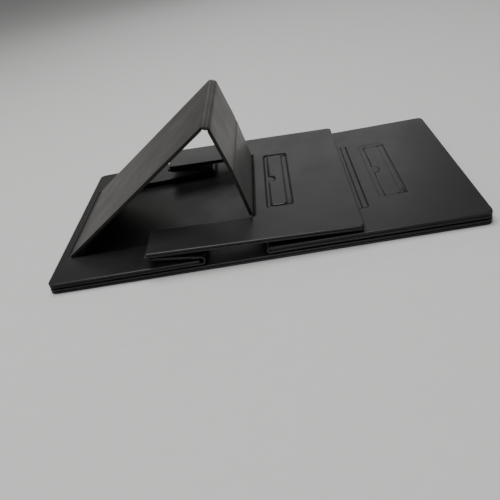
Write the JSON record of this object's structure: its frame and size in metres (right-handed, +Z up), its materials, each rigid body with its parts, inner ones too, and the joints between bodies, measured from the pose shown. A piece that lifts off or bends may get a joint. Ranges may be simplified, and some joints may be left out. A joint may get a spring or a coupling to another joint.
{
  "type": "tablet stand",
  "caption": "Low rectangular folding stand of leather-wrapped boards: a flat base sheet carries a raised panel that is propped up by a folding triangular support with a flat ridge, with flip-up stops.",
  "frame": {"origin": "centre of the footprint, on the surface it stands on", "axes": "+X along the length from the hinged end of the upper tier to the far end, +Y from the front edge to the back, +Z up"},
  "size_m": [0.4533, 0.265, 0.1313],
  "materials": {
    "leather": "smooth matte coated leather with a fine grain",
    "leather_crease": "matte leather, rolled at the folds",
    "board": "grey pressed stiffener board",
    "steel_strip": "plain steel strip"
  },
  "bodies": {
    "base": {"base_skin_lower": "leather", "base_board_left": "board", "base_board_right": "board", "base_skin_upper": "leather", "spine_left": "leather_crease", "spine_right": "leather_crease", "low_skin_lower": "leather", "low_board": "board", "low_skin_upper": "leather", "low_flap_near": "leather", "low_flap_far": "leather", "low_crease_roll": "leather_crease", "stop_lower_plate": "leather", "stop_lower_core": "steel_strip", "stop_lower_roll": "leather_crease"},
    "deck": {"deck_skin_lower": "leather", "deck_board": "board", "deck_skin_upper": "leather", "deck_foot_roll": "leather_crease", "deck_fold_rolls": "leather_crease"},
    "link": {"link_front": "leather", "link_back": "leather"},
    "top": {"top_skin_lower": "leather", "top_board": "board", "top_skin_upper": "leather", "top_foot_roll": "leather_crease", "top_fold_rolls": "leather_crease"},
    "stop_upper": {"stop_upper_plate": "leather", "stop_upper_core": "steel_strip", "stop_upper_roll": "leather_crease"},
    "shin": {"shin_skin_outer": "leather", "shin_board": "board", "shin_skin_inner": "leather", "knee_roll": "leather_crease"},
    "brace": {"brace_skin_outer": "leather", "brace_board": "board", "brace_skin_inner": "leather"},
    "ridge": {"ridge_band": "leather_crease"},
    "prop": {"prop_skin_outer": "leather", "prop_board": "board", "prop_skin_inner": "leather"}
  },
  "joints": [
    {"name": "deck_swing", "type": "hinge", "parent": "base", "child": "deck", "pos_m": [-0.226, 0, 0.006], "axis": [0, -1, 0], "range_deg": [0, 140]},
    {"name": "link_fold", "type": "hinge", "parent": "deck", "child": "link", "pos_m": [-0.058, 0, 0.0127], "axis": [0, 1, 0], "range_deg": [0, 166.5]},
    {"name": "top_level", "type": "hinge", "parent": "link", "child": "top", "pos_m": [-0.11668, 0, 0.02458], "axis": [0, -1, 0], "range_deg": [0, 168.45]},
    {"name": "shin_fold", "type": "hinge", "parent": "top", "child": "shin", "pos_m": [-0.0067, 0, 0.02454], "axis": [0, -1, 0], "range_deg": [0, 76.95]},
    {"name": "knee_fold", "type": "hinge", "parent": "shin", "child": "brace", "pos_m": [-0.01698, 0, 0.07694], "axis": [0, 1, 0], "range_deg": [0, 4.45]},
    {"name": "ridge_near", "type": "hinge", "parent": "brace", "child": "ridge", "pos_m": [-0.03107, 0, 0.12773], "axis": [0, 1, 0], "range_deg": [0, 54.3]},
    {"name": "ridge_far", "type": "hinge", "parent": "ridge", "child": "prop", "pos_m": [-0.03717, 0, 0.12998], "axis": [0, 1, 0], "range_deg": [0, 52.15]},
    {"name": "stop_upper_flip", "type": "hinge", "parent": "top", "child": "stop_upper", "pos_m": [0.03634, 0, 0.02264], "axis": [0, 1, 0], "range_deg": [0, 95]}
  ],
  "couplings": [
    {"joint": "link_fold", "follows": "top_level", "ratio": 0.98813},
    {"joint": "shin_fold", "follows": "top_level", "ratio": 0.45652},
    {"joint": "knee_fold", "follows": "top_level", "ratio": 0.026121},
    {"joint": "ridge_near", "follows": "top_level", "ratio": 0.32205},
    {"joint": "ridge_far", "follows": "top_level", "ratio": 0.30929}
  ]
}
